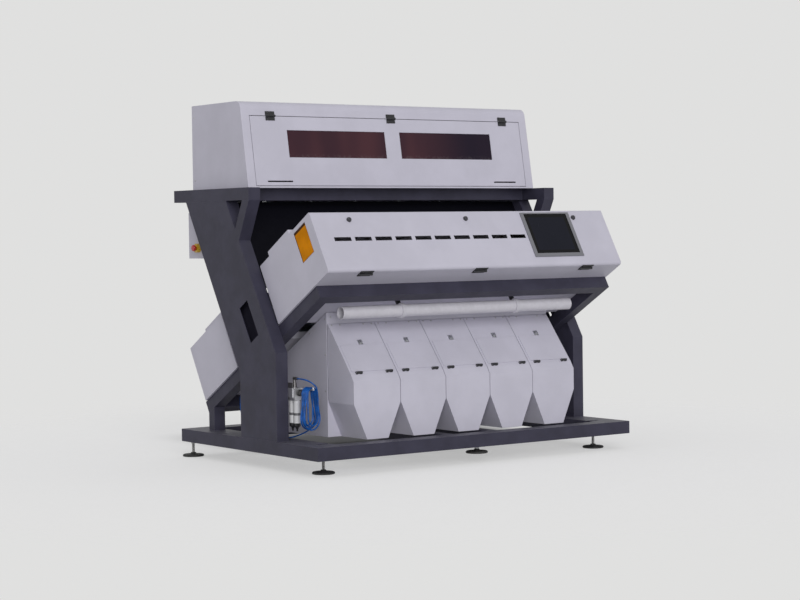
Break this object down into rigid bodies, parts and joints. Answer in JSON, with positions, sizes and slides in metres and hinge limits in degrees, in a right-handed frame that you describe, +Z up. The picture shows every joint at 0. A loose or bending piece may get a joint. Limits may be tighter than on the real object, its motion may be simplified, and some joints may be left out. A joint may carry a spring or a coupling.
{
  "type": "optical colour sorter",
  "caption": "Floor-standing optical colour sorter: hood feed, leaning chutes between two tilted optical boxes, air ejectors and front outlet hoppers on a dark steel frame.",
  "frame": {"origin": "middle of the footprint on the floor, under the foot pads", "axes": "+X along the machine to the right seen from the front, +Y to the rear, +Z up"},
  "size_m": [2.204, 1.5172, 2.03],
  "materials": {
    "frame_paint": "dark blue-grey satin powder coat",
    "black_paint": "matt black inner paint",
    "panel_paint": "pale grey satin powder coat",
    "steel": "brushed stainless sheet",
    "alu": "matt aluminium",
    "dark_metal": "dark grey drive housing",
    "black_plastic": "black glass-filled nylon",
    "white_plastic": "white moulded plastic",
    "window_plastic": "dark red-brown tinted acrylic",
    "amber_plastic": "amber tinted acrylic",
    "yellow_plastic": "yellow plastic",
    "red_plastic": "red plastic",
    "dark_glass": "dark display glass",
    "clear_glass": "clear float glass",
    "blue_hose": "blue polyurethane hose",
    "foot_rubber": "black rubber-faced foot with plated stem"
  },
  "bodies": {
    "frame": {"base_frame": "frame_paint", "uprights": "frame_paint", "top_frame": "frame_paint", "light_shield": "black_paint", "cradle_tubes": "frame_paint", "rear_posts": "frame_paint", "hood_shell": "panel_paint", "feed_hopper": "steel", "tray_vibrators": "dark_metal", "chutes": "steel", "chute_bars": "frame_paint", "front_box": "panel_paint", "end_windows": "amber_plastic", "rear_box": "panel_paint", "sight_glasses": "clear_glass", "lamp_bars": "white_plastic", "cameras": "black_plastic", "background_plates": "white_plastic", "wiper_rails": "steel", "ejector_manifold": "alu", "ejector_valves": "black_plastic", "outlet_housing": "panel_paint", "outlet_hoppers": "panel_paint", "hopper_catches": "steel", "hinge_leaves": "black_plastic", "hinge_pins": "steel", "suction_pipe": "white_plastic", "pipe_hangers": "black_plastic", "control_box": "panel_paint", "estop_base": "yellow_plastic", "frl_body": "alu", "frl_bowls": "white_plastic", "hose_tube": "blue_hose", "hose_coil": "blue_hose", "foot_nuts": "steel"},
    "hood_door": {"hood_door": "panel_paint", "hood_windows": "window_plastic"},
    "front_cover": {"front_cover": "panel_paint", "screen_bezel": "alu", "screen_glass": "dark_glass"},
    "rear_lid": {"rear_lid": "panel_paint"},
    "front_wiper": {"front_wiper": "black_plastic"},
    "rear_wiper": {"rear_wiper": "black_plastic"},
    "estop_button": {"estop_button": "red_plastic"},
    "frl_knob": {"frl_knob": "black_plastic"},
    "corner_feet": {"corner_feet": "foot_rubber"},
    "middle_feet": {"middle_feet": "foot_rubber"},
    "feed_tray_1": {"feed_tray_1": "steel"},
    "hopper_door_1": {"hopper_door_1": "panel_paint"},
    "feed_tray_2": {"feed_tray_2": "steel"},
    "hopper_door_2": {"hopper_door_2": "panel_paint"},
    "feed_tray_3": {"feed_tray_3": "steel"},
    "hopper_door_3": {"hopper_door_3": "panel_paint"},
    "feed_tray_4": {"feed_tray_4": "steel"},
    "hopper_door_4": {"hopper_door_4": "panel_paint"},
    "feed_tray_5": {"feed_tray_5": "steel"},
    "hopper_door_5": {"hopper_door_5": "panel_paint"},
    "cover_lock_1": {"cover_lock_1": "black_plastic"},
    "cover_lock_2": {"cover_lock_2": "black_plastic"},
    "cover_lock_3": {"cover_lock_3": "black_plastic"}
  },
  "joints": [
    {"name": "hood_door_hinge", "type": "hinge", "parent": "frame", "child": "hood_door", "pos_m": [0, 0.0993, 1.94991], "axis": [-1, 0, 0], "range_deg": [0, 100]},
    {"name": "front_cover_hinge", "type": "hinge", "parent": "frame", "child": "front_cover", "pos_m": [0, -0.73779, 1.06317], "axis": [1, 0, 0], "range_deg": [0, 95]},
    {"name": "rear_lid_hinge", "type": "hinge", "parent": "frame", "child": "rear_lid", "pos_m": [0, 0.36824, 0.83337], "axis": [1, 0, 0], "range_deg": [0, 90]},
    {"name": "feed_tray_1_shake", "type": "slide", "parent": "frame", "child": "feed_tray_1", "axis": [0, 1, 0], "range_m": [-0.001, 0.001], "stiffness_N_per_m": 20000},
    {"name": "feed_tray_2_shake", "type": "slide", "parent": "frame", "child": "feed_tray_2", "axis": [0, 1, 0], "range_m": [-0.001, 0.001], "stiffness_N_per_m": 20000},
    {"name": "feed_tray_3_shake", "type": "slide", "parent": "frame", "child": "feed_tray_3", "axis": [0, 1, 0], "range_m": [-0.001, 0.001], "stiffness_N_per_m": 20000},
    {"name": "feed_tray_4_shake", "type": "slide", "parent": "frame", "child": "feed_tray_4", "axis": [0, 1, 0], "range_m": [-0.001, 0.001], "stiffness_N_per_m": 20000},
    {"name": "feed_tray_5_shake", "type": "slide", "parent": "frame", "child": "feed_tray_5", "axis": [0, 1, 0], "range_m": [-0.001, 0.001], "stiffness_N_per_m": 20000},
    {"name": "front_wiper_slide", "type": "slide", "parent": "frame", "child": "front_wiper", "axis": [1, 0, 0], "range_m": [0, 1.64]},
    {"name": "rear_wiper_slide", "type": "slide", "parent": "frame", "child": "rear_wiper", "axis": [1, 0, 0], "range_m": [0, 1.64]},
    {"name": "hopper_door_1_hinge", "type": "hinge", "parent": "frame", "child": "hopper_door_1", "pos_m": [-0.62, -0.58755, 0.53172], "axis": [1, 0, 0], "range_deg": [0, 110]},
    {"name": "hopper_door_2_hinge", "type": "hinge", "parent": "frame", "child": "hopper_door_2", "pos_m": [-0.31, -0.58755, 0.53172], "axis": [1, 0, 0], "range_deg": [0, 110]},
    {"name": "hopper_door_3_hinge", "type": "hinge", "parent": "frame", "child": "hopper_door_3", "pos_m": [0, -0.58755, 0.53172], "axis": [1, 0, 0], "range_deg": [0, 110]},
    {"name": "hopper_door_4_hinge", "type": "hinge", "parent": "frame", "child": "hopper_door_4", "pos_m": [0.31, -0.58755, 0.53172], "axis": [1, 0, 0], "range_deg": [0, 110]},
    {"name": "hopper_door_5_hinge", "type": "hinge", "parent": "frame", "child": "hopper_door_5", "pos_m": [0.62, -0.58755, 0.53172], "axis": [1, 0, 0], "range_deg": [0, 110]},
    {"name": "cover_lock_1_turn", "type": "hinge", "parent": "front_cover", "child": "cover_lock_1", "pos_m": [-0.785, -0.60473, 1.35413], "axis": [0, -0.866, 0.5], "range_deg": [0, 90]},
    {"name": "cover_lock_2_turn", "type": "hinge", "parent": "front_cover", "child": "cover_lock_2", "pos_m": [0, -0.60473, 1.35413], "axis": [0, -0.866, 0.5], "range_deg": [0, 90]},
    {"name": "cover_lock_3_turn", "type": "hinge", "parent": "front_cover", "child": "cover_lock_3", "pos_m": [0.785, -0.60473, 1.35413], "axis": [0, -0.866, 0.5], "range_deg": [0, 90]},
    {"name": "estop_push", "type": "slide", "parent": "frame", "child": "estop_button", "axis": [1, 0, 0], "range_m": [0, 0.005]},
    {"name": "frl_knob_turn", "type": "hinge", "parent": "frame", "child": "frl_knob", "pos_m": [-0.978, -0.38645, 0.425], "axis": [0, -1, 0], "range_deg": [-540, 540]},
    {"name": "corner_feet_level", "type": "slide", "parent": "frame", "child": "corner_feet", "axis": [0, 0, 1], "range_m": [-0.02, 0.02]},
    {"name": "middle_feet_level", "type": "slide", "parent": "frame", "child": "middle_feet", "axis": [0, 0, -1], "range_m": [0, 0.03]}
  ]
}
